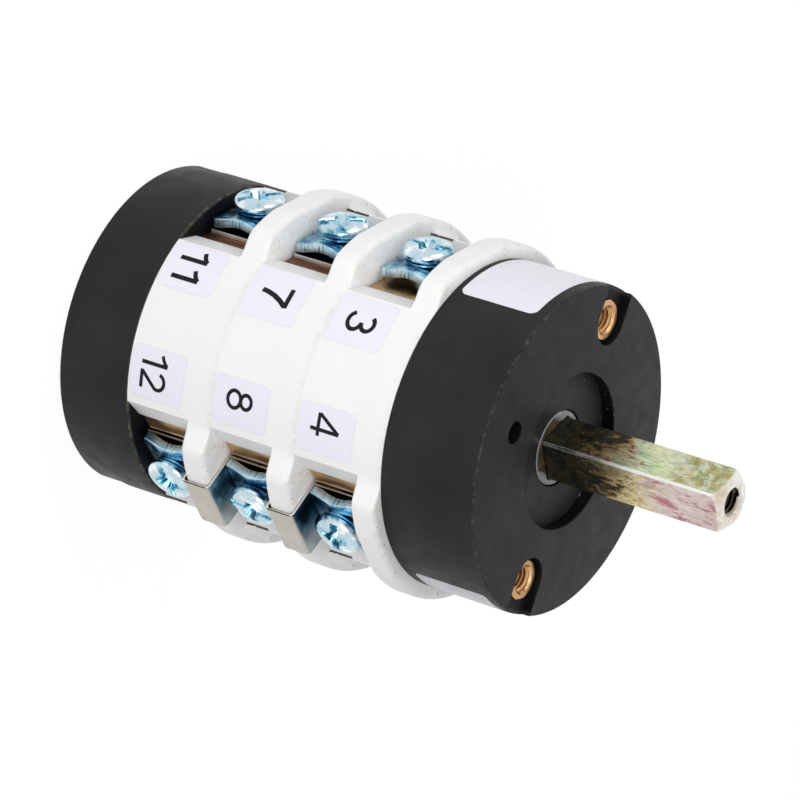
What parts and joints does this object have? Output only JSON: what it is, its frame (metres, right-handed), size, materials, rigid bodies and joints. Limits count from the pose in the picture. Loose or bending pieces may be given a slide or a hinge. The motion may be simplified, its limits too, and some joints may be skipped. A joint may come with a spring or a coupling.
{
  "type": "rotary reversing switch",
  "caption": "Spring-return rotary reversing switch with stacked contact stages, screw terminals in side pockets, jumper links and a square drive shaft.",
  "frame": {"origin": "centre of the rear cap's flat rear face", "axes": "+Z along the drive shaft towards its free end, -Y towards the label side that the picture shows, +X towards the jumper links"},
  "size_m": [0.0676, 0.062, 0.1275],
  "materials": {
    "black_bakelite": "pressed black phenolic moulding, half gloss",
    "white_bakelite": "pressed white moulding with faint specks",
    "yellow_zinc_steel": "yellow zinc plating with rainbow tints, drawn along the bar",
    "grey_steel": "plain steel",
    "blue_zinc_steel": "bright blue zinc plating",
    "nickel_steel": "satin nickel plating",
    "contact_brass": "dull bronze brown sheet",
    "insert_brass": "turned brass",
    "spring_steel": "drawn wire",
    "dark_plastic": "brown phenolic"
  },
  "bodies": {
    "housing": {"rear_cap": "black_bakelite", "front_housing": "black_bakelite", "torsion_spring": "spring_steel", "stage_housing_1": "white_bakelite", "contact_spring_near_1": "spring_steel", "contact_spring_far_1": "spring_steel", "terminal_near_right_1": "contact_brass", "clamp_screw_near_right_1": "blue_zinc_steel", "terminal_near_left_1": "contact_brass", "clamp_screw_near_left_1": "blue_zinc_steel", "terminal_far_right_1": "contact_brass", "clamp_screw_far_right_1": "blue_zinc_steel", "terminal_far_left_1": "contact_brass", "clamp_screw_far_left_1": "blue_zinc_steel", "stage_housing_2": "white_bakelite", "contact_spring_near_2": "spring_steel", "contact_spring_far_2": "spring_steel", "terminal_near_right_2": "contact_brass", "clamp_screw_near_right_2": "blue_zinc_steel", "terminal_near_left_2": "contact_brass", "clamp_screw_near_left_2": "blue_zinc_steel", "terminal_far_right_2": "contact_brass", "clamp_screw_far_right_2": "blue_zinc_steel", "terminal_far_left_2": "contact_brass", "clamp_screw_far_left_2": "blue_zinc_steel", "stage_housing_3": "white_bakelite", "contact_spring_near_3": "spring_steel", "contact_spring_far_3": "spring_steel", "terminal_near_right_3": "contact_brass", "clamp_screw_near_right_3": "blue_zinc_steel", "terminal_near_left_3": "contact_brass", "clamp_screw_near_left_3": "blue_zinc_steel", "terminal_far_right_3": "contact_brass", "clamp_screw_far_right_3": "blue_zinc_steel", "terminal_far_left_3": "contact_brass", "clamp_screw_far_left_3": "blue_zinc_steel", "jumper_link_1": "nickel_steel", "jumper_link_2": "nickel_steel", "mounting_insert_left": "insert_brass", "tie_bolt_left": "grey_steel", "mounting_insert_right": "insert_brass", "tie_bolt_right": "grey_steel"},
    "rotor": {"drive_shaft": "yellow_zinc_steel", "return_hub": "grey_steel", "cam_1": "dark_plastic", "cam_2": "dark_plastic", "cam_3": "dark_plastic"},
    "contact_near_1": {"contact_carrier_near_1": "dark_plastic", "bridging_contact_near_1": "contact_brass"},
    "contact_far_1": {"contact_carrier_far_1": "dark_plastic", "bridging_contact_far_1": "contact_brass"},
    "contact_near_2": {"contact_carrier_near_2": "dark_plastic", "bridging_contact_near_2": "contact_brass"},
    "contact_far_2": {"contact_carrier_far_2": "dark_plastic", "bridging_contact_far_2": "contact_brass"},
    "contact_near_3": {"contact_carrier_near_3": "dark_plastic", "bridging_contact_near_3": "contact_brass"},
    "contact_far_3": {"contact_carrier_far_3": "dark_plastic", "bridging_contact_far_3": "contact_brass"}
  },
  "joints": [
    {"name": "shaft_turn", "type": "hinge", "parent": "housing", "child": "rotor", "pos_m": [0, 0, 0.08], "axis": [0, 0, 1], "range_deg": [-45, 45], "stiffness_Nm_per_rad": 0.5, "deforming": ["torsion_spring"]},
    {"name": "contact_near_1_slide", "type": "slide", "parent": "housing", "child": "contact_near_1", "axis": [0, -1, 0], "range_m": [-0.0018, 0.0018], "deforming": ["contact_spring_near_1"]},
    {"name": "contact_far_1_slide", "type": "slide", "parent": "housing", "child": "contact_far_1", "axis": [0, 1, 0], "range_m": [-0.0018, 0.0018], "deforming": ["contact_spring_far_1"]},
    {"name": "contact_near_2_slide", "type": "slide", "parent": "housing", "child": "contact_near_2", "axis": [0, -1, 0], "range_m": [-0.0018, 0.0018], "deforming": ["contact_spring_near_2"]},
    {"name": "contact_far_2_slide", "type": "slide", "parent": "housing", "child": "contact_far_2", "axis": [0, 1, 0], "range_m": [-0.0018, 0.0018], "deforming": ["contact_spring_far_2"]},
    {"name": "contact_near_3_slide", "type": "slide", "parent": "housing", "child": "contact_near_3", "axis": [0, -1, 0], "range_m": [-0.0018, 0.0018], "deforming": ["contact_spring_near_3"]},
    {"name": "contact_far_3_slide", "type": "slide", "parent": "housing", "child": "contact_far_3", "axis": [0, 1, 0], "range_m": [-0.0018, 0.0018], "deforming": ["contact_spring_far_3"]}
  ],
  "couplings": [
    {"joint": "contact_near_1_slide", "follows": "shaft_turn", "m_per_rad": 0.0022918},
    {"joint": "contact_far_1_slide", "follows": "shaft_turn", "m_per_rad": -0.0022918},
    {"joint": "contact_near_2_slide", "follows": "shaft_turn", "m_per_rad": 0.0022918},
    {"joint": "contact_far_2_slide", "follows": "shaft_turn", "m_per_rad": -0.0022918},
    {"joint": "contact_near_3_slide", "follows": "shaft_turn", "m_per_rad": 0.0022918},
    {"joint": "contact_far_3_slide", "follows": "shaft_turn", "m_per_rad": -0.0022918}
  ]
}
